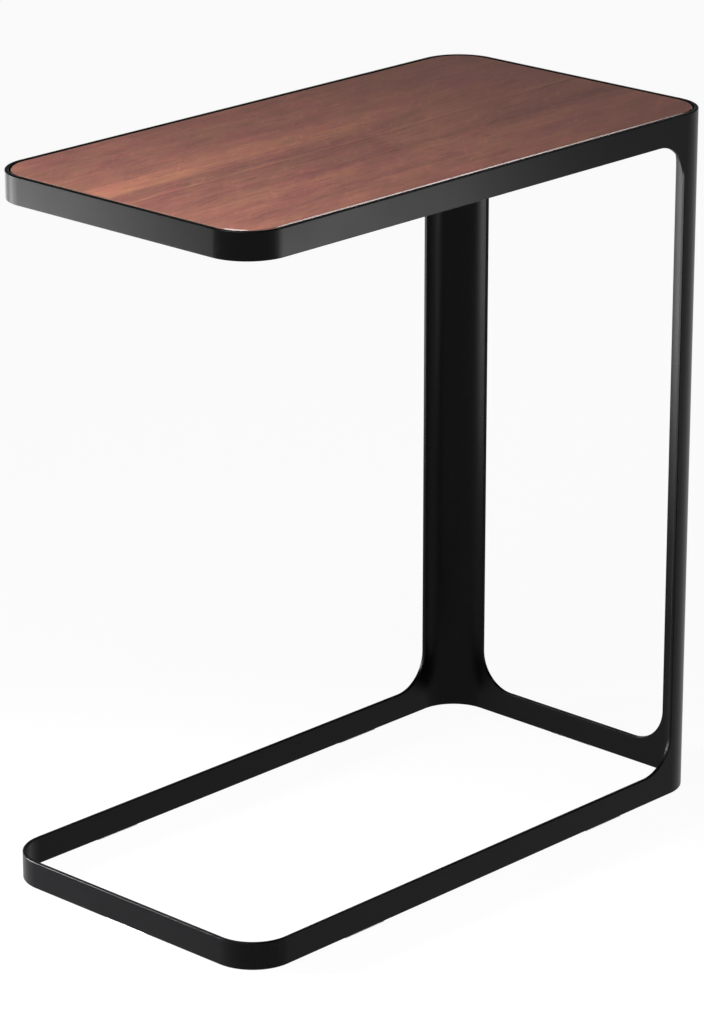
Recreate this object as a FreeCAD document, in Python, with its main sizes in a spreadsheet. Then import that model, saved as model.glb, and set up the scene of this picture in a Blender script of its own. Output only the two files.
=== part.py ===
import FreeCAD, Part
import os
import Sketcher

# A C-shaped side table: two bands of coated sheet steel, joined by two quarter-round legs at one end, and a
# walnut panel let into the upper band. X runs from the open end to the legs, Y across and Z up, in
# millimetres. The origin is on the floor under the middle of the table.

SIZES = {
    # the table as a whole
    "table_length": 475,
    "table_width": 250,
    "table_height": 520,
    # sheet steel of the bands and legs
    "steel_thickness": 3,
    "corner_radius": 33,       # outside of the four upright corners
    "edge_rounding": 0.7,      # softened arrises of the coated sheet
    "base_band_height": 20,
    "leg_flat": 1.5,           # flat strip between a leg's round and its free edge
    "leg_fillet": 28,          # where a leg's free edge sweeps into a band
    "ear_run": 6,              # straight end of a leg's ear, from the fillet to the weld
    # panel let into the upper band
    "panel_gap": 1.3,          # dark joint between the panel and the band
    "face_thickness": 0.6,
    "core_thickness": 10.8,
    "backing_thickness": 0.6,
    "edging_thickness": 0.8,
    "panel_arris": 0.6,        # eased top edge of the edging
    # tabs welded inside the upper band
    "tab_inset": 97.5,         # from an end of the table to the middle of a tab on a long side
    "tab_width": 24,
    "tab_thickness": 2.5,
    "tab_corner": 4,
    "tab_end": 9,              # from the screw to the free end of the tab
    "tab_weld": 1.6,           # leg of the bead under the tab
    "tab_cover": 5.5,          # band below the tabs, which hides them and the screw heads
    # pan-head screws through the tabs into the panel
    "screw_setback": 11,       # from the band to the screw
    "screw_diameter": 3.5,
    "screw_point": 2.5,
    "screw_cover": 2,          # core left above the point
    "screw_clearance": 0.7,    # in the holes of the tab and the backing
    "pilot_clearance": 0.1,    # in the hole of the core
    "head_diameter": 7,
    "head_height": 2.3,
    "head_rounding": 1.2,
    "drive_length": 3.8,       # cross recess, from tip to tip
    "drive_width": 0.9,
    "drive_depth": 1.3,
    # strips under the base band
    "pad_inset": 110,          # from an end of the table to the middle of a strip on a long side
    "pad_length": 40,
    "pad_width": 2,
    "pad_thickness": 0.5,
}

TOUCH = 0.001                          # two places closer than this are the same
UP = FreeCAD.Vector(0, 0, 1)
START, END, CENTRE = range(1, 4)                  # points of a sketched curve
LEVEL_AXIS, UPRIGHT_AXIS = range(-1, -3, -1)      # a sketch's own axes; the level one starts at its origin

# Largest rounds, as a share of what they are cut from: two on a sheet's edge, or one on an arris
BOTH_SIDES_LIMIT = 0.45
ONE_SIDE_LIMIT = 0.9

doc = FreeCAD.newDocument("side_table")
sheet = doc.addObject("Spreadsheet::Sheet", "Sizes")
for row, (alias, number) in enumerate(SIZES.items(), 1):
    sheet.set(f"A{row}", alias)
    sheet.set(f"B{row}", str(number))
    sheet.setAlias(f"B{row}", alias)
doc.recompute()


class Size:
    """A length: its number now, and the expression on the sheet that drives it."""

    def __init__(self, number, text):
        self.number = number
        self.text = text

    def __add__(self, other):
        return Size(self.number + other.number, f"({self.text} + {other.text})")

    def __sub__(self, other):
        return Size(self.number - other.number, f"({self.text} - {other.text})")

    def __neg__(self):
        return Size(-self.number, f"(-{self.text})")

    def __truediv__(self, divisor):
        return Size(self.number / divisor, f"({self.text} / {divisor})")


def size(alias):
    return Size(SIZES[alias], f"Sizes.{alias}")


# Lengths that several pieces share
on_axis = Size(0, "0")
half_length = size("table_length") / 2
half_width = size("table_width") / 2
steel = size("steel_thickness")
corner = size("corner_radius")
panel_thickness = size("backing_thickness") + size("core_thickness") + size("face_thickness")
top_band = panel_thickness + size("tab_thickness") + size("tab_cover")
base_band = size("base_band_height")

# Levels of the undersides, from the floor up
base_level = size("pad_thickness")
top_level = size("table_height") - top_band
panel_level = size("table_height") - panel_thickness
core_level = panel_level + size("backing_thickness")
face_level = core_level + size("core_thickness")
tab_level = panel_level - size("tab_thickness")

# A leg's free edges, and the welds at the ends of its ears
free_edge = corner + size("leg_flat")
ear_end = free_edge + size("leg_fillet") + size("ear_run")
side_weld = half_length - ear_end
end_weld = half_width - ear_end

# The panel's outline inside the band, and its layers' outline inside the edging
panel_margin = steel + size("panel_gap")
layer_margin = panel_margin + size("edging_thickness")

# The screws and their holes
screw_bite = size("core_thickness") - size("screw_cover")
screw_hole = size("screw_diameter") + size("screw_clearance")
pilot_hole = size("screw_diameter") + size("pilot_clearance")


def stations(along_side, side, end):
    """Six places round a band, two on each long side and one at each end, and the turn to face inwards."""
    return [
        (-along_side, side, -90),
        (along_side, side, -90),
        (-along_side, -side, 90),
        (along_side, -side, 90),
        (-end, on_axis, 0),
        (end, on_axis, 180),
    ]


screw_inset = steel + size("screw_setback")
FIXINGS = stations(half_length - size("tab_inset"), half_width - screw_inset, half_length - screw_inset)
PADS = stations(half_length - size("pad_inset"), half_width - steel / 2, half_length - steel / 2)


def new_body(label):
    body = doc.addObject("PartDesign::Body", label)
    body.Label = label
    return body


def new_sketch(body, role, name):
    """A sketch on one of the body's own origin planes."""
    sketch = body.newObject("Sketcher::SketchObject", f"{body.Name}_{name}")
    plane = next(feature for feature in body.Origin.OriginFeatures if feature.Role == role)
    sketch.AttachmentSupport = [(plane, "")]
    sketch.MapMode = "FlatFace"
    return sketch


def dimension(sketch, constraint, length):
    """Add a dimension that the sheet drives."""
    index = sketch.addConstraint(constraint)
    sketch.setExpression(f"Constraints[{index}]", length.text)


def hold_across(sketch, curve, point, length):
    """Hold a point at a distance across from the origin, or on the upright axis."""
    if length is on_axis:
        sketch.addConstraint(Sketcher.Constraint("PointOnObject", curve, point, UPRIGHT_AXIS))
    else:
        from_origin = Sketcher.Constraint("DistanceX", LEVEL_AXIS, START, curve, point, length.number)
        dimension(sketch, from_origin, length)


def hold_up(sketch, curve, point, length):
    """Hold a point at a distance up from the origin, or on the level axis."""
    if length is on_axis:
        sketch.addConstraint(Sketcher.Constraint("PointOnObject", curve, point, LEVEL_AXIS))
    else:
        from_origin = Sketcher.Constraint("DistanceY", LEVEL_AXIS, START, curve, point, length.number)
        dimension(sketch, from_origin, length)


def draw(sketch, corners):
    """A closed outline through corners (across, up), or (across, up, radius) where a square one is rounded.

    A level or upright line is held by one distance from the origin, and a corner by its lines. A corner that
    has no level line, or no upright one, is held by a distance of its own.
    """
    count = len(corners)
    points = [FreeCAD.Vector(spot[0].number, spot[1].number, 0) for spot in corners]
    radii = [spot[2].number if len(spot) == 3 else 0 for spot in corners]
    ways = [(points[(i + 1) % count] - points[i]).normalize() for i in range(count)]
    upright = [corners[i][0].text == corners[(i + 1) % count][0].text for i in range(count)]
    level = [corners[i][1].text == corners[(i + 1) % count][1].text for i in range(count)]
    lines = []
    for i in range(count):
        start = points[i] + ways[i] * radii[i]
        end = points[(i + 1) % count] - ways[i] * radii[(i + 1) % count]
        lines.append(sketch.addGeometry(Part.LineSegment(start, end)))
        if upright[i]:
            sketch.addConstraint(Sketcher.Constraint("Vertical", lines[i]))
            hold_across(sketch, lines[i], START, corners[i][0])
        if level[i]:
            sketch.addConstraint(Sketcher.Constraint("Horizontal", lines[i]))
            hold_up(sketch, lines[i], START, corners[i][1])
    for i in range(count):
        if radii[i]:
            start = points[i] - ways[i - 1] * radii[i]
            end = points[i] + ways[i] * radii[i]
            centre = start + ways[i] * radii[i]
            middle = centre + (points[i] - centre).normalize() * radii[i]
            bend = sketch.addGeometry(Part.Arc(start, middle, end))
            turns_left = ways[i - 1].cross(ways[i]).z > 0
            first, last = (START, END) if turns_left else (END, START)
            sketch.addConstraint(Sketcher.Constraint("Tangent", lines[i - 1], END, bend, first))
            sketch.addConstraint(Sketcher.Constraint("Tangent", bend, last, lines[i], START))
            dimension(sketch, Sketcher.Constraint("Radius", bend, radii[i]), corners[i][2])
        else:
            sketch.addConstraint(Sketcher.Constraint("Coincident", lines[i - 1], END, lines[i], START))
            if not upright[i - 1] and not upright[i]:
                hold_across(sketch, lines[i], START, corners[i][0])
            if not level[i - 1] and not level[i]:
                hold_up(sketch, lines[i], START, corners[i][1])


def rectangle(half_across, half_up, *radius):
    """Corners of a rectangle about the origin."""
    return [
        (-half_across, -half_up, *radius),
        (half_across, -half_up, *radius),
        (half_across, half_up, *radius),
        (-half_across, half_up, *radius),
    ]


def circle(sketch, diameter, across, up):
    centre = FreeCAD.Vector(across.number, up.number, 0)
    ring = sketch.addGeometry(Part.Circle(centre, UP, diameter.number / 2))
    dimension(sketch, Sketcher.Constraint("Diameter", ring, diameter.number), diameter)
    hold_across(sketch, ring, CENTRE, across)
    hold_up(sketch, ring, CENTRE, up)


def pad(body, sketch, length, both_ways=False):
    solid = body.newObject("PartDesign::Pad", f"{sketch.Name}_pad")
    solid.Profile = sketch
    solid.setExpression("Length", length.text)
    solid.Midplane = both_ways
    return solid


def cut(body, sketch, depth=None):
    """Cut upwards from the sketch to a depth, or both ways through everything."""
    doc.recompute()
    whole = body.Shape.Volume
    pocket = body.newObject("PartDesign::Pocket", f"{sketch.Name}_cut")
    pocket.Profile = sketch
    if depth:
        pocket.setExpression("Length", depth.text)
        pocket.Reversed = True
    else:
        pocket.Type = "ThroughAll"
        pocket.Midplane = True
    doc.recompute()
    if body.Shape.Volume > whole - TOUCH:
        raise RuntimeError(f"{pocket.Name} removes nothing")
    return pocket


def fillet(body, solid, wanted, radius, limit, wall):
    """Round those edges of a solid that the test picks, at most by a share of the wall they are on."""
    doc.recompute()
    names = [f"Edge{i}" for i, edge in enumerate(solid.Shape.Edges, 1) if wanted(edge)]
    rounding = body.newObject("PartDesign::Fillet", f"{solid.Name}_fillet")
    rounding.Base = (solid, names)
    rounding.setExpression("Radius", f"min({radius.text}; {limit} * {wall.text})")


def round_arrises(body, solid):
    """Soften a steel piece's sharp edges, apart from those at a weld, where the next piece carries on."""
    doc.recompute()

    def is_arris(edge):
        box = edge.BoundBox
        if box.XLength < TOUCH and abs(box.XMin - side_weld.number) < TOUCH:
            return False
        if box.YLength < TOUCH and abs(abs(box.YMin) - end_weld.number) < TOUCH:
            return False
        middle = edge.valueAt((edge.FirstParameter + edge.LastParameter) / 2)
        one, other = solid.Shape.ancestorsOfType(edge, Part.Face)
        one_way = one.normalAt(*one.Surface.parameter(middle))
        other_way = other.normalAt(*other.Surface.parameter(middle))
        return abs(one_way.dot(other_way)) < TOUCH

    fillet(body, solid, is_arris, size("edge_rounding"), BOTH_SIDES_LIMIT, steel)


def stand(body, level, across=on_axis, along=on_axis, turn=0):
    """Put a piece in its place, turned about its upright axis by an angle in degrees."""
    body.Placement = FreeCAD.Placement(FreeCAD.Vector(0, 0, 0), FreeCAD.Rotation(UP, turn))
    for axis, length in (("x", across), ("y", along), ("z", level)):
        if length is not on_axis:
            body.setExpression(f"Placement.Base.{axis}", length.text)


def hoop(label, band, level):
    """U-shaped strip on edge round the open end, butt-welded to the legs' ears."""
    body = new_body(label)
    plan = new_sketch(body, "XY_Plane", "plan")
    inner_length = half_length - steel
    inner_width = half_width - steel
    draw(plan, [
        (side_weld, half_width),
        (-half_length, half_width, corner),
        (-half_length, -half_width, corner),
        (side_weld, -half_width),
        (side_weld, -inner_width),
        (-inner_length, -inner_width, corner - steel),
        (-inner_length, inner_width, corner - steel),
        (side_weld, inner_width),
    ])
    round_arrises(body, pad(body, plan, band))
    stand(body, level)
    return body


def end_bar(label, band, level):
    """Straight strip on edge that closes a band between the two legs."""
    body = new_body(label)
    plan = new_sketch(body, "XY_Plane", "plan")
    draw(plan, [
        (half_length - steel, -end_weld),
        (half_length, -end_weld),
        (half_length, end_weld),
        (half_length - steel, end_weld),
    ])
    round_arrises(body, pad(body, plan, band))
    stand(body, level)
    return body


def leg(label):
    """Quarter-round sheet as tall as the frame, with an ear along each band on both of its sides."""
    body = new_body(label)
    plan = new_sketch(body, "XY_Plane", "plan")
    draw(plan, [
        (side_weld, half_width),
        (side_weld, half_width - steel),
        (half_length - steel, half_width - steel, corner - steel),
        (half_length - steel, end_weld),
        (half_length, end_weld),
        (half_length, half_width, corner),
    ])
    pad(body, plan, size("table_height") - base_level)
    sill = base_band
    lintel = top_level - base_level
    sweep = size("leg_fillet")
    side_opening = new_sketch(body, "XZ_Plane", "side_opening")
    draw(side_opening, [
        (-half_length, sill),
        (half_length - free_edge, sill, sweep),
        (half_length - free_edge, lintel, sweep),
        (-half_length, lintel),
    ])
    cut(body, side_opening)
    end_opening = new_sketch(body, "YZ_Plane", "end_opening")
    end_free_edge = half_width - free_edge
    draw(end_opening, [
        (-end_free_edge, sill, sweep),
        (end_free_edge, sill, sweep),
        (end_free_edge, lintel, sweep),
        (-end_free_edge, lintel, sweep),
    ])
    round_arrises(body, cut(body, end_opening))
    stand(body, base_level)
    return body


def mirrored(label, source):
    """The same piece on the other side of the table."""
    twin = doc.addObject("Part::Mirroring", label)
    twin.Label = label
    twin.Source = source
    twin.Normal = FreeCAD.Vector(0, 1, 0)
    return twin


def panel_outline(margin):
    """Rounded rectangle set back from the outside of the band, with its corners about the same centres."""
    return rectangle(half_length - margin, half_width - margin, corner - margin)


def panel_layer(label, thickness, level):
    """One sheet of the panel, inside the edging."""
    body = new_body(label)
    plan = new_sketch(body, "XY_Plane", "plan")
    draw(plan, panel_outline(layer_margin))
    pad(body, plan, thickness)
    stand(body, level)
    return body


def drill(body, diameter, depth):
    """Holes up into a layer of the panel, one at each screw."""
    holes = new_sketch(body, "XY_Plane", "holes")
    for across, along, turn in FIXINGS:
        circle(holes, diameter, across, along)
    cut(body, holes, depth)


def edging(label):
    """Walnut strip glued round the panel's layers, with its top arris eased."""
    body = new_body(label)
    outside = new_sketch(body, "XY_Plane", "outside")
    draw(outside, panel_outline(panel_margin))
    slab = pad(body, outside, panel_thickness)

    def is_top_edge(edge):
        return edge.BoundBox.ZMin > panel_thickness.number - TOUCH

    fillet(body, slab, is_top_edge, size("panel_arris"), ONE_SIDE_LIMIT, size("edging_thickness"))
    inside = new_sketch(body, "XY_Plane", "inside")
    draw(inside, panel_outline(layer_margin))
    cut(body, inside)
    stand(body, panel_level)
    return body


def panel_tab(label):
    """Flat steel tab about its screw hole, with the weld bead under its root."""
    body = new_body(label)
    root = -size("screw_setback")
    half_tab = size("tab_width") / 2
    plan = new_sketch(body, "XY_Plane", "plan")
    draw(plan, [
        (root, -half_tab),
        (size("tab_end"), -half_tab, size("tab_corner")),
        (size("tab_end"), half_tab, size("tab_corner")),
        (root, half_tab),
    ])
    circle(plan, screw_hole, on_axis, on_axis)
    pad(body, plan, size("tab_thickness"))
    bead = new_sketch(body, "XZ_Plane", "bead")
    draw(bead, [
        (root, on_axis),
        (root, -size("tab_weld")),
        (root + size("tab_weld"), on_axis),
    ])
    pad(body, bead, size("tab_width"), both_ways=True)
    return body


def panel_screw(label):
    """Pan-head screw, point up, with the bearing face of its head at the origin."""
    body = new_body(label)
    shank = size("screw_diameter") / 2
    head = size("head_diameter") / 2
    crown = -size("head_height")
    point = size("tab_thickness") + size("backing_thickness") + screw_bite
    profile = new_sketch(body, "XZ_Plane", "profile")
    draw(profile, [
        (on_axis, crown),
        (head, crown),
        (head, on_axis),
        (shank, on_axis),
        (shank, point - size("screw_point")),
        (on_axis, point),
    ])
    turned = body.newObject("PartDesign::Revolution", f"{label}_turned")
    turned.Profile = profile
    turned.ReferenceAxis = (profile, ["V_Axis"])

    def is_crown_edge(edge):
        return edge.BoundBox.ZMax < crown.number + TOUCH

    fillet(body, turned, is_crown_edge, size("head_rounding"), ONE_SIDE_LIMIT, size("head_height"))
    slot = (size("drive_length") / 2, size("drive_width") / 2)
    for name, half_across, half_up in (("long_slot", *slot), ("cross_slot", *reversed(slot))):
        recess = new_sketch(body, "XY_Plane", name)
        recess.setExpression("AttachmentOffset.Base.z", crown.text)
        draw(recess, rectangle(half_across, half_up))
        cut(body, recess, size("drive_depth"))
    return body


def floor_pad(label):
    """Thin self-adhesive strip along the bottom edge of the base band."""
    body = new_body(label)
    plan = new_sketch(body, "XY_Plane", "plan")
    draw(plan, rectangle(size("pad_width") / 2, size("pad_length") / 2))
    pad(body, plan, size("pad_thickness"))
    return body


# Frame
left_leg = leg("left_leg")
parts = [
    hoop("base_hoop", base_band, base_level),
    end_bar("base_end_bar", base_band, base_level),
    left_leg,
    mirrored("right_leg", left_leg),
    hoop("top_hoop", top_band, top_level),
    end_bar("top_end_bar", top_band, top_level),
]

# Panel
backing_sheet = panel_layer("backing_sheet", size("backing_thickness"), panel_level)
drill(backing_sheet, screw_hole, size("backing_thickness"))
panel_core = panel_layer("panel_core", size("core_thickness"), core_level)
drill(panel_core, pilot_hole, screw_bite)
walnut_face = panel_layer("walnut_face", size("face_thickness"), face_level)
parts += [backing_sheet, panel_core, walnut_face, edging("edge_band")]

# Tabs and screws
screws = []
for number, (across, along, turn) in enumerate(FIXINGS, 1):
    tab = panel_tab(f"panel_tab_{number}")
    stand(tab, tab_level, across, along, turn)
    parts.append(tab)
    screw = panel_screw(f"panel_screw_{number}")
    stand(screw, tab_level, across, along, turn)
    screws.append(screw)
panel_screws = doc.addObject("Part::Compound", "panel_screws")
panel_screws.Label = "panel_screws"
panel_screws.Links = screws
parts.append(panel_screws)

# Floor strips
for number, (across, along, turn) in enumerate(PADS, 1):
    strip = floor_pad(f"floor_pad_{number}")
    stand(strip, on_axis, across, along, turn)
    parts.append(strip)

doc.recompute()
for thing in doc.Objects:
    if "Invalid" in thing.State or "Error" in thing.State:
        raise RuntimeError(f"{thing.Label} did not compute: {thing.State}")
for part in parts:
    solids = len(screws) if part is panel_screws else 1
    if part.Shape.isNull() or not part.Shape.isValid() or len(part.Shape.Solids) != solids:
        raise RuntimeError(f"{part.Label} is not made of {solids} sound solids")

os.makedirs("parts", exist_ok=True)
for part in parts:
    part.Shape.exportStep(f"parts/{part.Label}.step")
    print(f"{part.Label}: {len(part.Shape.Solids)} solid, {part.Shape.Volume:.0f} mm3")
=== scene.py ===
import math
import bmesh
import bpy
from mathutils import Matrix, Vector


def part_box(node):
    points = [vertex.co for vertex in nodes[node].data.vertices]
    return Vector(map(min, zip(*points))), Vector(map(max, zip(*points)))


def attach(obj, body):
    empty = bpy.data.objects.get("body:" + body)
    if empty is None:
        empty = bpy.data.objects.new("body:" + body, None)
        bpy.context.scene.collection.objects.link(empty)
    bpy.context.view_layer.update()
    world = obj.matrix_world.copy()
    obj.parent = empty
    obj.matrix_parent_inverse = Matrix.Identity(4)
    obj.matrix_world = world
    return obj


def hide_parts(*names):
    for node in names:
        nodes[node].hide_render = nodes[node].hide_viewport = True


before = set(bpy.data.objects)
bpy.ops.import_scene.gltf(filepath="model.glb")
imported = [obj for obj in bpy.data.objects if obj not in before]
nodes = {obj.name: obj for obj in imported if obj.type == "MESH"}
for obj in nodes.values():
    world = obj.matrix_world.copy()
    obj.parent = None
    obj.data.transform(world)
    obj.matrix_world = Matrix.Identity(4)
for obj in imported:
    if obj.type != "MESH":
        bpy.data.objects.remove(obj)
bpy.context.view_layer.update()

# Base band: a strip of 3 mm sheet steel on edge, bent to a U round the open end, and a straight bar that
# closes it between the legs. Both are butt-welded to the legs' ears and ground flush, so that no seam
# shows, and coated black with the rest of the frame.
MM = 0.001
QUARTER_TURN = math.radians(90)
SHARP_EDGE = math.radians(40)            # a sharper crease than this keeps its edge in the shading
CORNER_RADIUS = 33 * MM                  # outside of the upright corners
CORNER_STEPS = 32                        # facets round a quarter turn
STEEL_ARRIS = 0.7 * MM                   # softened edges of the coated sheet
ARRIS_STEPS = 4
NOISE_LOW = 0.3                          # nearly all of a noise lies between these two
NOISE_HIGH = 0.7
MIX_A = 6                                # a Mix node's sockets for colours
MIX_B = 7
MIX_RESULT = 2
base_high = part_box("base_hoop")[1]
base_bar_low, base_bar_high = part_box("base_end_bar")
half_length = base_bar_high.x
half_width = base_high.y
steel = base_bar_high.x - base_bar_low.x
side_weld = base_high.x                  # where the hoop meets the legs' ears
end_weld = base_bar_high.y               # where the bar meets them


def linear(hex_code):
    """Linear colour of an sRGB hex value."""
    channels = [int(hex_code[i:i + 2], 16) / 255 for i in (1, 3, 5)]
    return [c / 12.92 if c <= 0.04045 else ((c + 0.055) / 1.055) ** 2.4 for c in channels] + [1]


def new_finish(name):
    """An empty material."""
    finish = bpy.data.materials.new(name)
    finish.use_nodes = True
    finish.node_tree.nodes.clear()
    return finish


def node(finish, kind, inputs, **settings):
    """Add a shader node: its own settings, and for each input a value or the output that feeds it."""
    made = finish.node_tree.nodes.new(kind)
    for name, value in settings.items():
        setattr(made, name, value)
    for name, value in inputs.items():
        if isinstance(value, bpy.types.NodeSocket):
            finish.node_tree.links.new(value, made.inputs[name])
        else:
            made.inputs[name].default_value = value
    return made


def black_powder_coat():
    """Satin black polyester powder, sprayed on and baked: a deep black that shows light only in its soft
    sheen, with the faint ripple of orange peel and a gloss that drifts a little."""
    PEEL = 2.2 * MM                      # the real ripple is about 1 mm, drawn coarser so that it shows
    PEEL_DEPTH = 0.1 * MM
    DRIFT = 70 * MM                      # the width of a patch of one gloss
    SHEEN = 0.08                         # low, so that a white ground doesn't turn the black grey
    coat = new_finish("satin_black_powder_coat")
    place = node(coat, "ShaderNodeTexCoord", {}).outputs["Object"]
    peel = node(coat, "ShaderNodeTexNoise", {"Vector": place, "Scale": 1 / PEEL, "Detail": 1})
    drift = node(coat, "ShaderNodeTexNoise", {"Vector": place, "Scale": 1 / DRIFT, "Detail": 3})
    gloss = node(coat, "ShaderNodeMapRange", {
        "Value": drift.outputs["Fac"],
        "From Min": NOISE_LOW,
        "From Max": NOISE_HIGH,
        "To Min": 0.27,
        "To Max": 0.33,
    })
    tone = node(coat, "ShaderNodeMix", {
        "Factor": drift.outputs["Fac"],
        MIX_A: linear("#040405"),
        MIX_B: linear("#070708"),
    }, data_type="RGBA")
    ripple = node(coat, "ShaderNodeBump", {
        "Height": peel.outputs["Fac"],
        "Strength": 0.1,
        "Distance": PEEL_DEPTH,
    })
    surface = node(coat, "ShaderNodeBsdfPrincipled", {
        "Base Color": tone.outputs[MIX_RESULT],
        "Roughness": gloss.outputs["Result"],
        "Specular IOR Level": SHEEN,
        "Normal": ripple.outputs["Normal"],
    })
    node(coat, "ShaderNodeOutputMaterial", {"Surface": surface.outputs["BSDF"]})
    return coat


def strip_section(bm, across, outside, low, high, thickness, arris, arris_steps, eased):
    """Upright section of a strip whose outside faces +Y, with those corners eased that eased names: 0 and 1
    outside, below and above, and 2 and 3 inside, above and below. Returns its ring of edges."""
    inside = outside - thickness
    corners = [bm.verts.new((across, y, z))
               for y, z in ((outside, low), (outside, high), (inside, high), (inside, low))]
    bm.faces.new(corners)
    bmesh.ops.bevel(bm, geom=[corners[i] for i in eased], offset=arris, segments=arris_steps, profile=0.5,
                    affect="VERTICES", material=-1)
    return bm.edges[:]


def moved_verts(geometry):
    """The vertices among what an operator made."""
    return [part for part in geometry if isinstance(part, bmesh.types.BMVert)]


def open_edges(geometry):
    """The edges among what an operator made that the next step can go on from."""
    return [part for part in geometry if isinstance(part, bmesh.types.BMEdge) and part.is_boundary]


def run_straight(bm, ring, way):
    """Carry a section straight on, and return its new ring of edges."""
    grown = bmesh.ops.extrude_edge_only(bm, edges=ring)["geom"]
    bmesh.ops.translate(bm, vec=way, verts=moved_verts(grown))
    return open_edges(grown)


def turn_corner(bm, ring, centre):
    """Carry a section a quarter turn to the left about an upright axis, and return its new ring."""
    turned = bmesh.ops.spin(bm, geom=ring, cent=centre, axis=(0, 0, 1), angle=QUARTER_TURN,
                            steps=CORNER_STEPS)
    return open_edges(turned["geom_last"])


def corner_ranks(part):
    """The ranks of the corners of an edge or a face, lowest first."""
    return sorted(vert.index for vert in part.verts)


def put_in_order(bm):
    """Sort a mesh's parts by place, as extruding makes them in an order that changes from run to run."""
    for rank, vert in enumerate(sorted(bm.verts, key=lambda vert: tuple(vert.co))):
        vert.index = rank
    bm.verts.sort()
    for parts in (bm.edges, bm.faces):
        for rank, part in enumerate(sorted(parts, key=corner_ranks)):
            part.index = rank
        parts.sort()


def table_piece(name, bm, finish, replaced):
    """Make a mesh a piece of the table in a CAD node's place, smooth apart from its sharp edges."""
    bmesh.ops.recalc_face_normals(bm, faces=bm.faces)
    put_in_order(bm)
    mesh = bpy.data.meshes.new(name)
    bm.to_mesh(mesh)
    bm.free()
    mesh.shade_smooth()
    mesh.set_sharp_from_angle(angle=SHARP_EDGE)
    mesh.materials.append(finish)
    piece = bpy.data.objects.new(name, mesh)
    bpy.context.scene.collection.objects.link(piece)
    even_shading = piece.modifiers.new("even_shading", "WEIGHTED_NORMAL")
    even_shading.keep_sharp = True
    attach(piece, "root")
    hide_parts(replaced)


def bent_hoop(name, replaced):
    """U-shaped strip from the left leg's weld round the open end to the right leg's weld."""
    low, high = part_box(replaced)
    straight = side_weld + half_length - CORNER_RADIUS
    inset = half_width - CORNER_RADIUS
    bm = bmesh.new()
    ring = strip_section(bm, side_weld, half_width, low.z, high.z, steel, STEEL_ARRIS, ARRIS_STEPS,
                         eased=range(4))
    ring = run_straight(bm, ring, (-straight, 0, 0))
    ring = turn_corner(bm, ring, (CORNER_RADIUS - half_length, inset, 0))
    ring = run_straight(bm, ring, (0, -2 * inset, 0))
    ring = turn_corner(bm, ring, (CORNER_RADIUS - half_length, -inset, 0))
    ring = run_straight(bm, ring, (straight, 0, 0))
    bmesh.ops.holes_fill(bm, edges=ring)
    table_piece(name, bm, coat, replaced)


def straight_bar(name, replaced):
    """Straight strip across the end between the two legs' welds."""
    low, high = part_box(replaced)
    bm = bmesh.new()
    ring = strip_section(bm, -end_weld, half_length, low.z, high.z, steel, STEEL_ARRIS, ARRIS_STEPS,
                         eased=range(4))
    ring = run_straight(bm, ring, (2 * end_weld, 0, 0))
    bmesh.ops.holes_fill(bm, edges=ring)
    bmesh.ops.rotate(bm, verts=bm.verts, cent=(0, 0, 0), matrix=Matrix.Rotation(-QUARTER_TURN, 3, "Z"))
    table_piece(name, bm, coat, replaced)


coat = black_powder_coat()
bent_hoop("base_hoop_strip", "base_hoop")
straight_bar("base_end_strip", "base_end_bar")

# Legs: two sheets of the same steel, each cut flat to an I shape with swept inner corners and rolled to a
# quarter-round, so that its four ears run straight into the upper and lower bands. The right leg is the
# left one's mirror image, and both are welded to the bands and ground flush.
LEG_SWEEP = 28 * MM                      # radius where a free edge runs into an ear
LEG_SWEEP_STEPS = 24
LEG_FLAT = 1.5 * MM                      # flat strip between the round and the free edge
NO_GAP = MM / 1000                       # points nearer than this are one point
leg_low, leg_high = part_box("left_leg")
top_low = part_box("top_hoop")[0]
half_arc = CORNER_RADIUS * QUARTER_TURN / 2
half_stem = half_arc + LEG_FLAT
half_blank = half_arc + half_length - CORNER_RADIUS - side_weld


def leg_blank(bm):
    """The flat I shape: an ear at each of its four ends, a stem between them, and swept inner corners."""
    right_side = [
        (half_blank, leg_low.z),
        (half_blank, base_high.z),
        (half_stem, base_high.z),
        (half_stem, top_low.z),
        (half_blank, top_low.z),
        (half_blank, leg_high.z),
    ]
    left_side = [(-along, height) for along, height in reversed(right_side)]
    blank = bm.faces.new([bm.verts.new((along, 0, height)) for along, height in right_side + left_side])
    inner_corners = [vert for vert in blank.verts if abs(vert.co.x) < half_stem + STEEL_ARRIS]
    bmesh.ops.bevel(bm, geom=inner_corners, offset=LEG_SWEEP, segments=LEG_SWEEP_STEPS, profile=0.5,
                    affect="VERTICES", material=-1)


def rolled(spot):
    """Where a point of the blank (along, depth, height) goes as its middle is rolled round the corner."""
    along, depth, height = spot
    on_arc = min(max(along, -half_arc), half_arc)
    angle = (on_arc + half_arc) / CORNER_RADIUS
    outwards = Vector((math.sin(angle), math.cos(angle), 0))
    onwards = Vector((math.cos(angle), -math.sin(angle), 0))
    centre = Vector((half_length - CORNER_RADIUS, half_width - CORNER_RADIUS, height))
    return centre + outwards * (CORNER_RADIUS - depth) + onwards * (along - on_arc)


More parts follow.
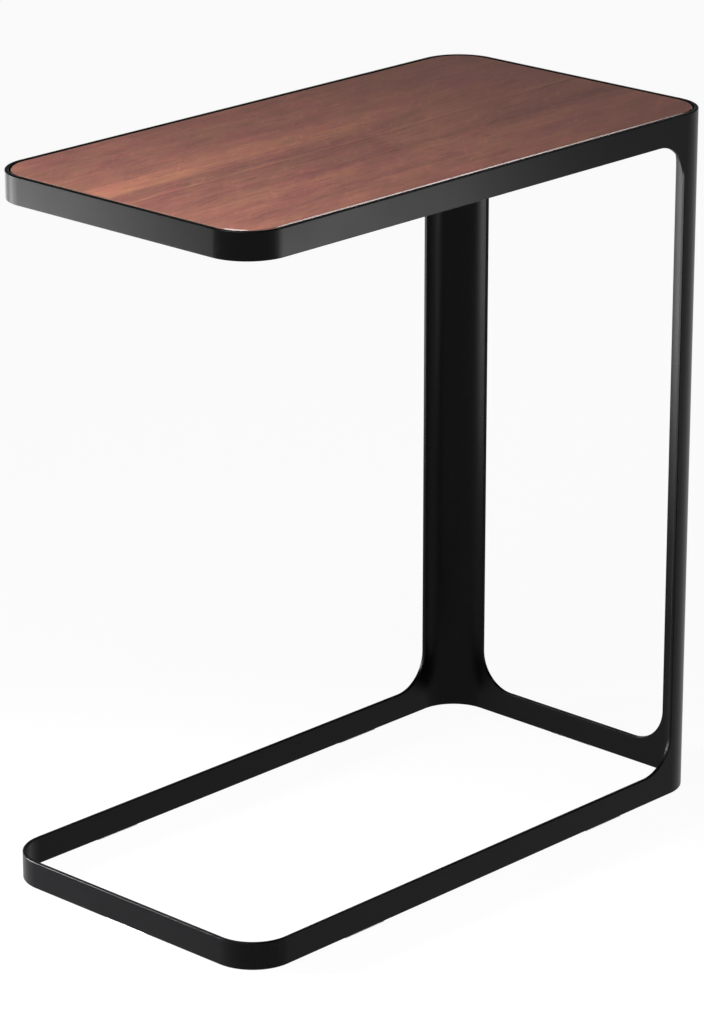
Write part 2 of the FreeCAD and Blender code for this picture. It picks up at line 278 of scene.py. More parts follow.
def rolled_leg(name, replaced, side):
    """A leg, rolled from its blank, on the left (side 1) or on the right (side -1)."""
    bm = bmesh.new()
    leg_blank(bm)
    for step in range(CORNER_STEPS + 1):
        fold = -half_arc + 2 * half_arc * step / CORNER_STEPS
        bmesh.ops.bisect_plane(bm, geom=bm.verts[:] + bm.edges[:] + bm.faces[:], dist=NO_GAP,
                               plane_co=(fold, 0, 0), plane_no=(1, 0, 0))
    back = bmesh.ops.extrude_face_region(bm, geom=bm.faces[:], use_keep_orig=True)["geom"]
    bmesh.ops.translate(bm, vec=(0, steel, 0), verts=moved_verts(back))
    bmesh.ops.recalc_face_normals(bm, faces=bm.faces)
    short_of_weld = half_blank - STEEL_ARRIS
    arrises = [edge for edge in bm.edges if edge.calc_face_angle() > SHARP_EDGE
               and min(abs(vert.co.x) for vert in edge.verts) < short_of_weld]
    bmesh.ops.bevel(bm, geom=arrises, offset=STEEL_ARRIS, segments=ARRIS_STEPS, profile=0.5,
                    affect="EDGES", material=-1)
    for vert in bm.verts:
        vert.co = rolled(vert.co)
    bmesh.ops.scale(bm, vec=(1, side, 1), verts=bm.verts)
    table_piece(name, bm, coat, replaced)


rolled_leg("left_leg_sheet", "left_leg", 1)
rolled_leg("right_leg_sheet", "right_leg", -1)

# Upper band: the same strip as the base band, a hoop round the open end and a bar between the legs. It
# stands up round the panel, its top edge flush with the walnut, and is welded and coated with the rest.
bent_hoop("top_hoop_strip", "top_hoop")
straight_bar("top_end_strip", "top_end_bar")

# Tabs: six small plates of 2.5 mm steel with rounded free corners and a screw hole, each welded to the
# inside of the upper band along its root. They are coated with the frame and carry the panel from below.
TAB_THICKNESS = 2.5 * MM
TAB_CORNER = 4 * MM
TAB_ARRIS = 0.3 * MM
TAB_HOLE = 4.2 * MM
TAB_HOLE_SETBACK = 11 * MM               # from the band to the middle of the hole
BEAD_RADIUS = 1.3 * MM
BEAD_SIDES = 12
BEAD_RIPPLES = 14                        # scales of the weld along a tab's root
BEAD_WAIST = 0.82                        # radius between two scales, as a share of the full one
BEAD_END = 0.5                           # radius at either end, as a share of the full one
TABS = [f"panel_tab_{number}" for number in range(1, 7)]


def root_place(low, high):
    """Turn and shift from a plate drawn along +X from its root to a place on the band's inside."""
    middle = (low + high) / 2
    if high.x - low.x > high.y - low.y:
        inwards = Vector((0, -math.copysign(1, middle.y), 0))
    else:
        inwards = Vector((-math.copysign(1, middle.x), 0, 0))
    reach = abs((high - low).dot(inwards))
    root = Vector((middle.x, middle.y, high.z)) - inwards * reach / 2
    return Matrix.Translation(root) @ Matrix.Rotation(math.atan2(inwards.y, inwards.x), 4, "Z")


def tab_plate(bm, reach, half_tab):
    """The plate, its top face level with the origin, with its root along the Y axis."""
    outline = ((0, -half_tab), (reach, -half_tab), (reach, half_tab), (0, half_tab))
    plate = bm.faces.new([bm.verts.new((x, y, 0)) for x, y in outline])
    bmesh.ops.bevel(bm, geom=[vert for vert in plate.verts if vert.co.x > reach / 2], offset=TAB_CORNER,
                    segments=2 * ARRIS_STEPS, profile=0.5, affect="VERTICES", material=-1)
    bmesh.ops.delete(bm, geom=bm.faces[:], context="FACES_ONLY")
    bmesh.ops.create_circle(bm, segments=CORNER_STEPS, radius=TAB_HOLE / 2,
                            matrix=Matrix.Translation((TAB_HOLE_SETBACK, 0, 0)))
    bmesh.ops.triangle_fill(bm, edges=bm.edges[:], use_beauty=True)
    under = bmesh.ops.extrude_face_region(bm, geom=bm.faces[:], use_keep_orig=True)["geom"]
    bmesh.ops.translate(bm, vec=(0, 0, -TAB_THICKNESS), verts=moved_verts(under))
    bmesh.ops.recalc_face_normals(bm, faces=bm.faces)
    arrises = [edge for edge in bm.edges if edge.calc_face_angle() > SHARP_EDGE
               and max(vert.co.x for vert in edge.verts) > TAB_ARRIS]
    bmesh.ops.bevel(bm, geom=arrises, offset=TAB_ARRIS, segments=ARRIS_STEPS // 2, profile=0.5,
                    affect="EDGES", material=-1)


def each_once(parts):
    """The same parts in the same order, with none of them twice."""
    return list(dict.fromkeys(parts))


def weld_bead(half_tab):
    """Rippled bead in the angle under a tab's root, as a mesh of its own."""
    bm = bmesh.new()
    half_ripple = (half_tab - BEAD_RADIUS) / (BEAD_RIPPLES + 1)
    on_edge = Matrix.Rotation(QUARTER_TURN, 4, "X")
    start = Matrix.Translation((0, BEAD_RADIUS - half_tab, -TAB_THICKNESS)) @ on_edge
    circle = bmesh.ops.create_circle(bm, segments=BEAD_SIDES, radius=BEAD_RADIUS * BEAD_END, cap_ends=True,
                                     matrix=start)
    ring = each_once(edge for vert in circle["verts"] for edge in vert.link_edges)
    for swell in [1 / BEAD_END] + [BEAD_WAIST, 1 / BEAD_WAIST] * BEAD_RIPPLES + [BEAD_END]:
        ring = run_straight(bm, ring, (0, half_ripple, 0))
        verts = each_once(vert for edge in ring for vert in edge.verts)
        middle = sum((vert.co for vert in verts), Vector()) / len(verts)
        bmesh.ops.scale(bm, vec=(swell, 1, swell), space=Matrix.Translation(-middle), verts=verts)
    bmesh.ops.holes_fill(bm, edges=ring)
    bead = bpy.data.meshes.new("weld_bead")
    bm.to_mesh(bead)
    bm.free()
    return bead


for tab in TABS:
    low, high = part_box(tab)
    reach = min(high.x - low.x, high.y - low.y)
    half_tab = max(high.x - low.x, high.y - low.y) / 2
    bm = bmesh.new()
    tab_plate(bm, reach, half_tab)
    bead = weld_bead(half_tab)
    bm.from_mesh(bead)
    bpy.data.meshes.remove(bead)
    bmesh.ops.transform(bm, matrix=root_place(low, high), verts=bm.verts)
    table_piece(f"{tab}_plate", bm, coat, tab)


# Panel core: the board that stiffens the top and takes the screws, a fine fibreboard pressed from wood
# fibre and resin, cut to a rounded rectangle. The sheets glued over it leave none of it in sight.
def fine_fibreboard():
    """Pressed wood fibre: dull tan with a fine speckle of darker fibres and no sheen."""
    FIBRE = 1.5 * MM                     # real ones are under 0.5 mm wide, drawn coarser so that they show
    NAP_DEPTH = 0.1 * MM
    board = new_finish("fine_fibreboard")
    place = node(board, "ShaderNodeTexCoord", {}).outputs["Object"]
    fibres = node(board, "ShaderNodeTexNoise", {"Vector": place, "Scale": 1 / FIBRE, "Detail": 4})
    tone = node(board, "ShaderNodeMix", {
        "Factor": fibres.outputs["Fac"],
        MIX_A: linear("#97805F"),
        MIX_B: linear("#C0A684"),
    }, data_type="RGBA")
    nap = node(board, "ShaderNodeBump", {
        "Height": fibres.outputs["Fac"],
        "Strength": 0.2,
        "Distance": NAP_DEPTH,
    })
    surface = node(board, "ShaderNodeBsdfPrincipled", {
        "Base Color": tone.outputs[MIX_RESULT],
        "Roughness": 0.9,
        "Normal": nap.outputs["Normal"],
    })
    node(board, "ShaderNodeOutputMaterial", {"Surface": surface.outputs["BSDF"]})
    return board


nodes["panel_core"].data.materials[0] = fine_fibreboard()


# Backing sheet: a thin dark laminate glued under the board to balance the veneer, so that the panel stays
# flat. It is pressed from resin-soaked paper, and it is what shows from below.
def matt_laminate():
    """Melamine-faced paper: near-black brown, matt, with a fine pebbled texture from the press plate."""
    PEBBLE = 1.2 * MM                    # the real texture is about 0.4 mm, drawn coarser so it shows
    PEBBLE_DEPTH = 0.1 * MM
    MOTTLE = 18 * MM
    laminate = new_finish("matt_brown_laminate")
    place = node(laminate, "ShaderNodeTexCoord", {}).outputs["Object"]
    pebble = node(laminate, "ShaderNodeTexNoise", {"Vector": place, "Scale": 1 / PEBBLE, "Detail": 1})
    mottle = node(laminate, "ShaderNodeTexNoise", {"Vector": place, "Scale": 1 / MOTTLE, "Detail": 3})
    tone = node(laminate, "ShaderNodeMix", {
        "Factor": mottle.outputs["Fac"],
        MIX_A: linear("#2C2624"),
        MIX_B: linear("#3D3532"),
    }, data_type="RGBA")
    gloss = node(laminate, "ShaderNodeMapRange", {
        "Value": mottle.outputs["Fac"],
        "From Min": NOISE_LOW,
        "From Max": NOISE_HIGH,
        "To Min": 0.52,
        "To Max": 0.62,
    })
    texture = node(laminate, "ShaderNodeBump", {
        "Height": pebble.outputs["Fac"],
        "Strength": 0.25,
        "Distance": PEBBLE_DEPTH,
    })
    surface = node(laminate, "ShaderNodeBsdfPrincipled", {
        "Base Color": tone.outputs[MIX_RESULT],
        "Roughness": gloss.outputs["Result"],
        "Specular IOR Level": 0.3,
        "Normal": texture.outputs["Normal"],
    })
    node(laminate, "ShaderNodeOutputMaterial", {"Surface": surface.outputs["BSDF"]})
    return laminate


nodes["backing_sheet"].data.materials[0] = matt_laminate()


# Walnut face: a leaf of flat-cut walnut veneer, 0.6 mm thick, glued to the top of the board with its
# grain along the table, sanded and sprayed with a satin lacquer.
def satin_walnut(name, bands, dark, middle, light, pore, gloss, shine):
    """Flat-cut walnut under satin lacquer: a reddish brown with broad lighter and darker bands along the
    grain, and any bands of painted light and shade that are passed in, frayed at their edges, a mottle that
    drifts in hue, fine growth lines, slanting curl and short dark pores."""
    BETWEEN_BANDS = 0.52                 # lightness where there is no band, from 0, dark, to 1, light
    FAN = 0.8                            # how much the bands spread apart towards the legs, per metre
    FAN_LINE = -50 * MM                  # the line that they spread from
    WANDER = 14 * MM                     # how far the bands stray sideways along the table
    STRAY = (260 * MM, 120 * MM)         # the length and width of such a stray
    MARKS = {                            # the length, width and slant in degrees of each mark in the grain
        "fray": (55 * MM, 3 * MM, 0),
        "mottle": (60 * MM, 24 * MM, 16),
        "streak": (240 * MM, 8 * MM, 0),
        "growth": (90 * MM, 1.7 * MM, 0),
        "tongue": (70 * MM, 15 * MM, 9),
        "figure": (34 * MM, 8 * MM, 38),
        "curl": (16 * MM, 3.5 * MM, 40),
        "fleck": (20 * MM, 1.8 * MM, 5),
        "glint": (18 * MM, 1.8 * MM, -4),
        "tint": (38 * MM, 14 * MM, 12),
        "pores": (9 * MM, 0.7 * MM, 0),  # real ones are about 0.2 mm wide, drawn coarser so that they show
    }
    SHADES = (                           # from where to where in a mark's noise it shades, and how much
        ("mottle", 0.25, 0.75, -0.09, 0.09),
        ("streak", 0.25, 0.75, -0.06, 0.06),
        ("growth", 0.25, 0.75, -0.12, 0.12),
        ("tongue", 0.49, 0.55, -0.05, 0.03),
        ("figure", 0.25, 0.75, -0.06, 0.06),
        ("curl", 0.58, 0.68, 0, 0.13),
        ("fleck", 0.56, 0.66, 0, -0.20),
        ("glint", 0.58, 0.68, 0, 0.14),
    )
    TURBULENCE = {"Scale": 1, "Detail": 3, "Distortion": 0.4}
    PORE_COVER = 0.3                     # how much of the pores' dark shows through the lacquer
    PORE_DEPTH = 0.05 * MM
    wood = new_finish(name)
    place = node(wood, "ShaderNodeTexCoord", {}).outputs["Object"]
    stretched = node(wood, "ShaderNodeMapping", {"Vector": place, "Scale": (*STRAY, 1)},
                     vector_type="TEXTURE", label="stray")
    stray = node(wood, "ShaderNodeTexNoise", {"Vector": stretched.outputs["Vector"], **TURBULENCE})
    aside = node(wood, "ShaderNodeVectorMath", {0: stray.outputs["Color"], 1: (0.5, 0.5, 0.5)},
                 operation="SUBTRACT")
    strayed = node(wood, "ShaderNodeVectorMath", {
        0: aside.outputs["Vector"],
        1: (0, WANDER, 0),
        2: place,
    }, operation="MULTIPLY_ADD").outputs["Vector"]
    noise = {}
    for mark, (long, wide, slant) in MARKS.items():
        stretched = node(wood, "ShaderNodeMapping", {
            "Vector": strayed,
            "Scale": (long, wide, 1),
            "Rotation": (0, 0, math.radians(slant)),
        }, vector_type="TEXTURE", label=mark)
        made = node(wood, "ShaderNodeTexNoise", {"Vector": stretched.outputs["Vector"], **TURBULENCE})
        noise[mark] = made.outputs["Fac"]
    spot = node(wood, "ShaderNodeSeparateXYZ", {"Vector": strayed})
    from_line = node(wood, "ShaderNodeMath", {0: spot.outputs["Y"], 1: FAN_LINE}, operation="SUBTRACT")
    fanned = node(wood, "ShaderNodeMath", {0: spot.outputs["X"], 1: -FAN}, operation="MULTIPLY")
    across = node(wood, "ShaderNodeMath", {
        0: from_line.outputs["Value"],
        1: fanned.outputs["Value"],
        2: spot.outputs["Y"],
    }, operation="MULTIPLY_ADD")
    fray = node(wood, "ShaderNodeMapRange", {
        "Value": noise["fray"],
        "From Min": 0.25,
        "From Max": 0.75,
        "To Min": -0.5,
        "To Max": 0.5,
    })
    shade = BETWEEN_BANDS
    # Each band lightens or darkens a strip along the grain, its strength ramped from the open end to the
    # legs; bands of painted light and painted shade are drawn the same way.
    for band, line, reach, soft, open_end, leg_end in bands:
        offset = node(wood, "ShaderNodeMath", {0: across.outputs["Value"], 1: line},
                      operation="SUBTRACT", label=band)
        distance = node(wood, "ShaderNodeMath", {0: offset.outputs["Value"]}, operation="ABSOLUTE")
        frayed = node(wood, "ShaderNodeMath", {
            0: fray.outputs["Result"],
            1: soft,
            2: distance.outputs["Value"],
        }, operation="MULTIPLY_ADD")
        cover = node(wood, "ShaderNodeMapRange", {
            "Value": frayed.outputs["Value"],
            "From Min": reach - soft,
            "From Max": reach,
            "To Min": 1,
            "To Max": 0,
        }, interpolation_type="SMOOTHSTEP")
        strength = node(wood, "ShaderNodeMapRange", {
            "Value": spot.outputs["X"],
            "From Min": -half_length,
            "From Max": half_length,
            "To Min": open_end,
            "To Max": leg_end,
        })
        shade = node(wood, "ShaderNodeMath", {
            0: cover.outputs["Result"],
            1: strength.outputs["Result"],
            2: shade,
        }, operation="MULTIPLY_ADD").outputs["Value"]
    for mark, noise_from, noise_to, shade_from, shade_to in SHADES:
        swing = node(wood, "ShaderNodeMapRange", {
            "Value": noise[mark],
            "From Min": noise_from,
            "From Max": noise_to,
            "To Min": shade_from,
            "To Max": shade_to,
        })
        shade = node(wood, "ShaderNodeMath", {0: shade, 1: swing.outputs["Result"]},
                     operation="ADD").outputs["Value"]
    ramp = node(wood, "ShaderNodeValToRGB", {"Fac": shade})
    ramp.color_ramp.elements[0].color = linear(dark)
    ramp.color_ramp.elements[1].color = linear(light)
    ramp.color_ramp.elements.new(0.5).color = linear(middle)
    hue = node(wood, "ShaderNodeMapRange", {
        "Value": noise["tint"],
        "From Min": NOISE_LOW,
        "From Max": NOISE_HIGH,
        "To Min": 0.490,                 # a little redder
        "To Max": 0.510,                 # a little yellower
    })
    tinted = node(wood, "ShaderNodeHueSaturation", {
        "Hue": hue.outputs["Result"],
        "Color": ramp.outputs["Color"],
    })
    depth = node(wood, "ShaderNodeMapRange", {
        "Value": noise["pores"],
        "From Min": 0.58,
        "From Max": 0.72,
        "To Min": 0,
        "To Max": PORE_COVER,
    })
    colour = node(wood, "ShaderNodeMix", {
        "Factor": depth.outputs["Result"],
        MIX_A: tinted.outputs["Color"],
        MIX_B: linear(pore),
    }, data_type="RGBA")
    lacquer = node(wood, "ShaderNodeMapRange", {
        "Value": noise["tint"],
        "From Min": NOISE_LOW,
        "From Max": NOISE_HIGH,
        "To Min": gloss[0],
        "To Max": gloss[1],
    })
    relief = node(wood, "ShaderNodeBump", {
        "Height": depth.outputs["Result"],
        "Strength": 0.25,
        "Distance": PORE_DEPTH,
    }, invert=True)
    surface = node(wood, "ShaderNodeBsdfPrincipled", {
        "Base Color": colour.outputs[MIX_RESULT],
        "Roughness": lacquer.outputs["Result"],
        "Specular IOR Level": shine,
        "Normal": relief.outputs["Normal"],
    })
    node(wood, "ShaderNodeOutputMaterial", {"Surface": surface.outputs["BSDF"]})
    return wood


# Of these, the far shade is painted shade: darker along the far edge, most at the open end. The tan near
# edge is partly the wood's own tone and partly painted light: lighter along the near edge, most at the open
# end. Together they stand in for how the key lamp's light falls off across the leaf, on top of the walnut's
# own bands.
LEAF_BANDS_AND_PAINTED_LIGHT = (                           # middle, reach each way, soft edge, strength at open end and legs
    ("light streak", 30 * MM, 20 * MM, 10 * MM, 0.27, -0.07),
    ("dark heart", -14 * MM, 38 * MM, 8 * MM, -0.13, -0.08),
    ("dark vein", -42 * MM, 8 * MM, 5 * MM, -0.03, -0.07),
    ("pale line", -4 * MM, 1.9 * MM, 1.5 * MM, 0.14, 0.20),
    ("dark line", -7.5 * MM, 2 * MM, 1.5 * MM, -0.06, -0.18),
    # lighter near edge, partly tan wood and partly painted light, strongest at the open end
    ("tan near edge and painted light", -63 * MM, 11 * MM, 8 * MM, 0.07, 0.02),
    # painted shade along the far edge, darkest at the open end
    ("painted far shade", 104 * MM, 48 * MM, 30 * MM, -0.12, -0.02),
)
walnut = satin_walnut("satin_walnut_veneer", LEAF_BANDS_AND_PAINTED_LIGHT, dark="#603F39", middle="#825449",
                      light="#A26A54", pore="#402A26", gloss=(0.30, 0.37), shine=0.15)
nodes["walnut_face"].data.materials[0] = walnut

# Edging: a strip of walnut 0.8 mm thick glued round the panel's edge and trimmed flush. Its top arris is
# eased and lacquered with the face, and catches the light as a fine pale line beside the dark gap.
EDGING = 0.8 * MM
PANEL_ARRIS = 0.6 * MM
panel_low, panel_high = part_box("edge_band")
panel_radius = CORNER_RADIUS - (half_length - panel_high.x)
straight = panel_high.x - panel_radius
inset = panel_high.y - panel_radius
bm = bmesh.new()
ring = strip_section(bm, 0, panel_high.y, panel_low.z, panel_high.z, EDGING, PANEL_ARRIS, 1, eased=[1])
bmesh.ops.delete(bm, geom=bm.faces[:], context="FACES_ONLY")
ring = run_straight(bm, ring, (-straight, 0, 0))
ring = turn_corner(bm, ring, (-straight, inset, 0))
ring = run_straight(bm, ring, (0, -2 * inset, 0))
ring = turn_corner(bm, ring, (-straight, -inset, 0))
ring = run_straight(bm, ring, (2 * straight, 0, 0))
ring = turn_corner(bm, ring, (straight, -inset, 0))
ring = run_straight(bm, ring, (0, 2 * inset, 0))
ring = turn_corner(bm, ring, (straight, inset, 0))
run_straight(bm, ring, (-straight, 0, 0))
bmesh.ops.remove_doubles(bm, verts=bm.verts, dist=NO_GAP)
edging_walnut = satin_walnut("satin_walnut_edging", (), dark="#5C433B", middle="#74544A",
                             light="#8C6659", pore="#463029", gloss=(0.15, 0.23), shine=0.5)
table_piece("walnut_edging", bm, edging_walnut, "edge_band")

# Screws: six pan-head screws of zinc-plated steel with a cross recess, driven up through the tabs and the
# backing into the board. Each is cold-headed from wire, pointed and plated.
HEAD_RADIUS = 3.5 * MM
HEAD_HEIGHT = 2.3 * MM
HEAD_ROUNDING = 1.2 * MM
HEAD_ROUNDING_STEPS = 8
HEAD_FACETS = 40
RECESS_REACH = 1.9 * MM                  # from the middle of the cross to its tips
RECESS_HALF_WIDTH = 0.45 * MM
RECESS_DEPTH = 1.3 * MM
RECESS_TAPER = 0.7                       # its floor, as a share of its mouth
SHANK_RADIUS = 1.75 * MM
POINT_LENGTH = 2.5 * MM
POINT_RADIUS = 0.3 * MM


def zinc_plate():
    """Bright zinc on steel: a bluish white metal with a little cloud in its colour and its gloss."""
    CLOUD = 2.5 * MM
    zinc = new_finish("zinc_plated_steel")
    place = node(zinc, "ShaderNodeTexCoord", {}).outputs["Object"]
    cloud = node(zinc, "ShaderNodeTexNoise", {"Vector": place, "Scale": 1 / CLOUD, "Detail": 4})
    tone = node(zinc, "ShaderNodeMix", {
        "Factor": cloud.outputs["Fac"],
        MIX_A: linear("#9C9EA3"),
        MIX_B: linear("#BEC0C4"),
    }, data_type="RGBA")
    gloss = node(zinc, "ShaderNodeMapRange", {
        "Value": cloud.outputs["Fac"],
        "From Min": NOISE_LOW,
        "From Max": NOISE_HIGH,
        "To Min": 0.24,
        "To Max": 0.38,
    })
    surface = node(zinc, "ShaderNodeBsdfPrincipled", {
        "Base Color": tone.outputs[MIX_RESULT],
        "Metallic": 1,
        "Roughness": gloss.outputs["Result"],
    })
    node(zinc, "ShaderNodeOutputMaterial", {"Surface": surface.outputs["BSDF"]})
    return zinc


def next_ring(bm, ring, radius_share, rise):
    """Carry a ring of edges up by rise and scale it about the Z axis."""
    ring = run_straight(bm, ring, (0, 0, rise))
    verts = each_once(vert for edge in ring for vert in edge.verts)
    bmesh.ops.scale(bm, vec=(radius_share, radius_share, 1), verts=verts)
    return ring


def screw(shank_length):
    """Screw about the Z axis, point up, with the bearing face of its head at the origin."""
    bm = bmesh.new()
    arm = (
        (RECESS_REACH, RECESS_HALF_WIDTH),
        (RECESS_HALF_WIDTH, RECESS_HALF_WIDTH),
        (RECESS_HALF_WIDTH, RECESS_REACH),
    )
    cross = []
    for quarter in range(4):
        turn = Matrix.Rotation(quarter * QUARTER_TURN, 3, "Z")
        cross += [bm.verts.new(turn @ Vector((x, y, -HEAD_HEIGHT))) for x, y in arm]
    mouth = [bm.edges.new((cross[i - 1], cross[i])) for i in range(len(cross))]
    crown_radius = HEAD_RADIUS - HEAD_ROUNDING
    crown = bmesh.ops.create_circle(bm, segments=HEAD_FACETS, radius=crown_radius,
                                    matrix=Matrix.Translation((0, 0, -HEAD_HEIGHT)))
    rim = each_once(edge for vert in crown["verts"] for edge in vert.link_edges)
    bmesh.ops.triangle_fill(bm, edges=mouth + rim, use_beauty=True)
    floor = next_ring(bm, mouth, RECESS_TAPER, RECESS_DEPTH)
    bmesh.ops.holes_fill(bm, edges=floor)
    profile = [(crown_radius, -HEAD_HEIGHT)]
    for step in range(1, HEAD_ROUNDING_STEPS + 1):
        angle = QUARTER_TURN * step / HEAD_ROUNDING_STEPS
        profile.append((crown_radius + HEAD_ROUNDING * math.sin(angle),
                        HEAD_ROUNDING * (1 - math.cos(angle)) - HEAD_HEIGHT))
    profile += [
        (HEAD_RADIUS, 0),
        (SHANK_RADIUS, 0),
        (SHANK_RADIUS, shank_length - POINT_LENGTH),
        (POINT_RADIUS, shank_length),
    ]
    ring = rim
    for (radius, height), (next_radius, next_height) in zip(profile, profile[1:]):
        ring = next_ring(bm, ring, next_radius / radius, next_height - height)
    bmesh.ops.holes_fill(bm, edges=ring)
    return bm


screws_low, screws_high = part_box("panel_screws")
one_screw = bpy.data.meshes.new("one_screw")
bm = screw(screws_high.z - screws_low.z - HEAD_HEIGHT)
bm.to_mesh(one_screw)
bm.free()
bm = bmesh.new()
for tab in TABS:
    in_hole = root_place(*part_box(tab)) @ Matrix.Translation((TAB_HOLE_SETBACK, 0, -TAB_THICKNESS))
    before = len(bm.verts)
    bm.from_mesh(one_screw)
    bm.verts.ensure_lookup_table()
    bmesh.ops.transform(bm, matrix=in_hole, verts=bm.verts[before:])
bpy.data.meshes.remove(one_screw)
table_piece("panel_screw_set", bm, zinc_plate(), "panel_screws")

# Floor strips: six short strips of milky low-friction film, 0.5 mm thick, die-cut with rounded ends and
# stuck to the bottom edge of the base band, so that it slides and doesn't mark the floor.
PAD_ROUNDING = 0.95 * MM
PAD_ARRIS = 0.1 * MM
PADS = [f"floor_pad_{number}" for number in range(1, 7)]


def glide_film():
    """Skived low-friction plastic: milky white, waxy and matt, with faint lines along it from the blade."""
    BLADE_LINE = (30 * MM, 0.6 * MM)     # real lines are 0.1 mm apart, drawn coarser so that they show
    film = new_finish("milky_glide_film")
    place = node(film, "ShaderNodeTexCoord", {}).outputs["Object"]
    stretched = node(film, "ShaderNodeMapping", {"Vector": place, "Scale": (*BLADE_LINE, 1)},
                     vector_type="TEXTURE")
    lines = node(film, "ShaderNodeTexNoise", {
        "Vector": stretched.outputs["Vector"],
        "Scale": 1,
        "Detail": 3,
    })
    tone = node(film, "ShaderNodeMix", {
        "Factor": lines.outputs["Fac"],
        MIX_A: linear("#CBC9C2"),
        MIX_B: linear("#E4E2DC"),
    }, data_type="RGBA")
    waxiness = node(film, "ShaderNodeMapRange", {
        "Value": lines.outputs["Fac"],
        "From Min": NOISE_LOW,
        "From Max": NOISE_HIGH,
        "To Min": 0.42,
        "To Max": 0.55,
    })
    surface = node(film, "ShaderNodeBsdfPrincipled", {
        "Base Color": tone.outputs[MIX_RESULT],
        "Roughness": waxiness.outputs["Result"],
        "Specular IOR Level": 0.35,
    })
    node(film, "ShaderNodeOutputMaterial", {"Surface": surface.outputs["BSDF"]})
    return film


film = glide_film()
for pad in PADS:
    low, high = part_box(pad)
    outline = ((low.x, low.y), (high.x, low.y), (high.x, high.y), (low.x, high.y))
    bm = bmesh.new()
    bm.faces.new([bm.verts.new((x, y, low.z)) for x, y in outline])
    bmesh.ops.bevel(bm, geom=bm.verts[:], offset=PAD_ROUNDING, segments=ARRIS_STEPS, profile=0.5,
                    affect="VERTICES", material=-1)
    top = bmesh.ops.extrude_face_region(bm, geom=bm.faces[:], use_keep_orig=True)["geom"]
    bmesh.ops.translate(bm, vec=(0, 0, high.z - low.z), verts=moved_verts(top))
    bmesh.ops.recalc_face_normals(bm, faces=bm.faces)
    arrises = [edge for edge in bm.edges if abs(edge.verts[0].co.z - edge.verts[1].co.z) < PAD_ARRIS]
    bmesh.ops.bevel(bm, geom=arrises, offset=PAD_ARRIS, segments=ARRIS_STEPS // 2, profile=0.5,
                    affect="EDGES", material=-1)
    table_piece(f"{pad}_strip", bm, film, pad)

# Floor: a wide sweep of white paper that lies flat under the table and curves up all round, far off, so
# that any view has a plain white ground. It looks white to the camera and in gloss, and keeps a faint
# shadow.
SWEEP_FLAT = 8.0                         # radius of the flat, in metres as all the studio is
SWEEP_CURVE = 1.0
SWEEP_HEIGHT = 1.7
SWEEP_STEPS = 96


def white_paper():
    """Matt white background paper, which shows as white however the lamps fall on it."""
    GLOW = 0.95                          # share of the paper's white that doesn't depend on the lamps
    paper = new_finish("matt_white_paper")
    rays = node(paper, "ShaderNodeLightPath", {})
    in_gloss = node(paper, "ShaderNodeMath", {
        0: rays.outputs["Is Camera Ray"],
        1: rays.outputs["Is Glossy Ray"],
    }, operation="MAXIMUM")
    seen = node(paper, "ShaderNodeMath", {
        0: in_gloss.outputs["Value"],
        1: rays.outputs["Is Transmission Ray"],
    }, operation="MAXIMUM")
    share = node(paper, "ShaderNodeMath", {0: seen.outputs["Value"], 1: GLOW}, operation="MULTIPLY")
    matt = node(paper, "ShaderNodeBsdfDiffuse", {"Color": linear("#F2F2F2")})
    glow = node(paper, "ShaderNodeEmission", {"Color": linear("#FFFFFF"), "Strength": 1})
    mixed = node(paper, "ShaderNodeMixShader", {
        0: share.outputs["Value"],
        1: matt.outputs["BSDF"],
        2: glow.outputs["Emission"],
    })
    node(paper, "ShaderNodeOutputMaterial", {"Surface": mixed.outputs["Shader"]})
    return paper


bm = bmesh.new()
middle = bm.verts.new((0, 0, 0))
edge = bm.verts.new((SWEEP_FLAT, 0, 0))
bm.edges.new((middle, edge))
curved = bmesh.ops.spin(bm, geom=[edge], cent=(SWEEP_FLAT, 0, SWEEP_CURVE), axis=(0, -1, 0),
                        angle=QUARTER_TURN, steps=CORNER_STEPS)["geom_last"]
upright = bmesh.ops.extrude_vert_indiv(bm, verts=moved_verts(curved))["verts"]
bmesh.ops.translate(bm, vec=(0, 0, SWEEP_HEIGHT - SWEEP_CURVE), verts=upright)
bmesh.ops.spin(bm, geom=bm.verts[:] + bm.edges[:], cent=(0, 0, 0), axis=(0, 0, 1), angle=4 * QUARTER_TURN,
               steps=SWEEP_STEPS, use_merge=True)
bmesh.ops.remove_doubles(bm, verts=bm.verts, dist=MM)
bmesh.ops.recalc_face_normals(bm, faces=bm.faces)
sweep = bpy.data.meshes.new("paper_sweep")
bm.to_mesh(sweep)
bm.free()
sweep.shade_smooth()
sweep.materials.append(white_paper())
floor = bpy.data.objects.new("paper_sweep", sweep)
bpy.context.scene.collection.objects.link(floor)

# Light: a soft key above the open end, which lights the walnut and falls off along it, and five softboxes
# low round the table, whose reflections give the black steel its sheen and its arrises their fine lines.
# A long lamp high on the right gives the edging its bright line, and a dim fill does the rest.
FILL = 0.05


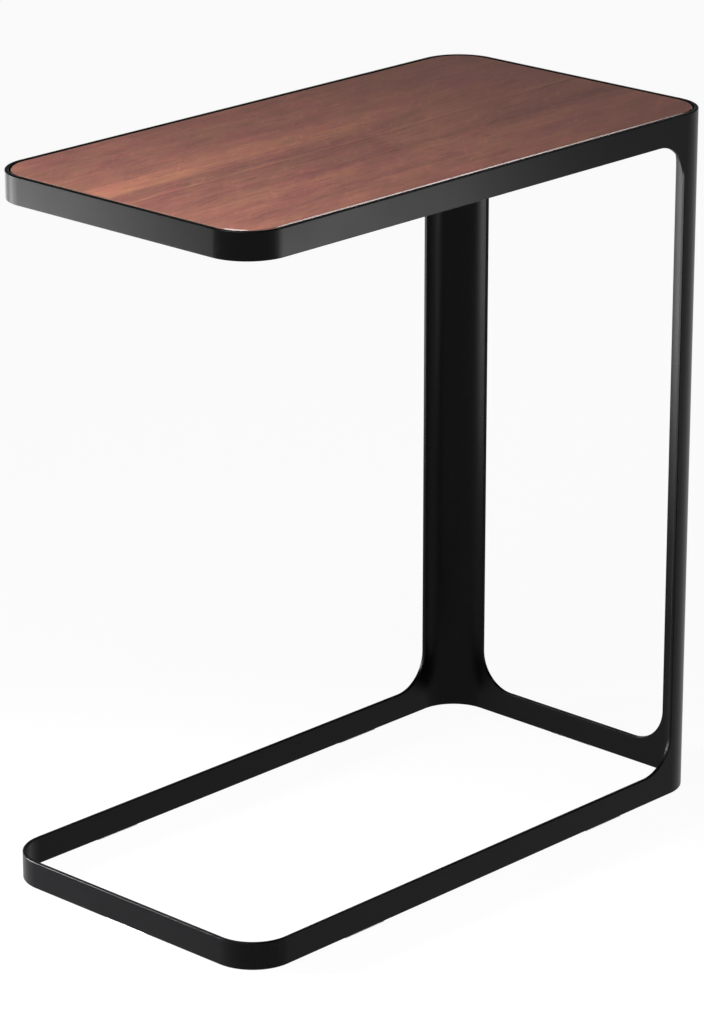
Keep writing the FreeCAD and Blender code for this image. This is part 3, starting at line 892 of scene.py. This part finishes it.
def softbox(name, spot, aim, size, power, spread):
    """Lamp with a flat front, whose light fans out over the spread in degrees."""
    width, height = size
    lamp = bpy.data.lights.new(name, "AREA")
    lamp.shape = "RECTANGLE"
    lamp.size = width
    lamp.size_y = height
    lamp.energy = power
    lamp.spread = math.radians(spread)
    box = bpy.data.objects.new(name, lamp)
    box.location = spot
    box.rotation_euler = (Vector(aim) - Vector(spot)).to_track_quat("-Z", "Y").to_euler()
    box.visible_camera = False
    bpy.context.scene.collection.objects.link(box)


softbox("key", spot=(-0.52, -0.05, 0.95), aim=(-0.20, -0.02, 0.52),
        size=(0.40, 0.40), power=7.2, spread=180)
softbox("back_panel", spot=(-0.481, 0.516, 0.21), aim=(-0.117, 0.082, 0.408),
        size=(0.33, 0.42), power=1.08, spread=70)
softbox("front_panel", spot=(0.31, -0.65, 0.25), aim=(-0.07, -0.29, 0.43),
        size=(0.34, 0.32), power=0.94, spread=100)
softbox("corner_panel", spot=(0, 0.75, 0.29), aim=(-0.21, 0.118, 0.51),
        size=(0.40, 0.14), power=0.15, spread=100)
softbox("side_panel", spot=(-0.285, 0.68, 0.2), aim=(-0.028, 0.175, 0.398),
        size=(0.28, 0.38), power=0.54, spread=50)
softbox("base_panel", spot=(-0.61, 0.68, 0.25), aim=(-0.2375, 0.07, 0.02),
        size=(0.42, 0.30), power=4.4, spread=42)
softbox("edge_lamp", spot=(0.92, -0.47, 1.40), aim=(0.92, -0.47, 0),
        size=(0.6, 0.12), power=3.0, spread=180)
world = bpy.data.worlds.new("dim_fill")
world.use_nodes = True
background = world.node_tree.nodes["Background"]
background.inputs["Color"].default_value = linear("#FFFFFF")
background.inputs["Strength"].default_value = FILL
bpy.context.scene.world = world

# Camera: a long lens above the open end and to the left of it, as in the photograph. It is tilted down
# with no shift, so that the table stays in the middle of the frame from any other side too.
CAMERA_SPOT = (-2.170, -2.039, 1.286)
CAMERA_PITCH = -19.28                    # degrees, level being 0
CAMERA_HEADING = -46.668                 # degrees from +Y
FOCAL_LENGTH = 155.6
lens = bpy.data.cameras.new("camera")
lens.lens = FOCAL_LENGTH
camera = bpy.data.objects.new("camera", lens)
camera.location = CAMERA_SPOT
camera.rotation_euler = (QUARTER_TURN + math.radians(CAMERA_PITCH), 0, math.radians(CAMERA_HEADING))
bpy.context.scene.collection.objects.link(camera)
bpy.context.scene.camera = camera
bpy.context.scene.view_settings.view_transform = "Standard"
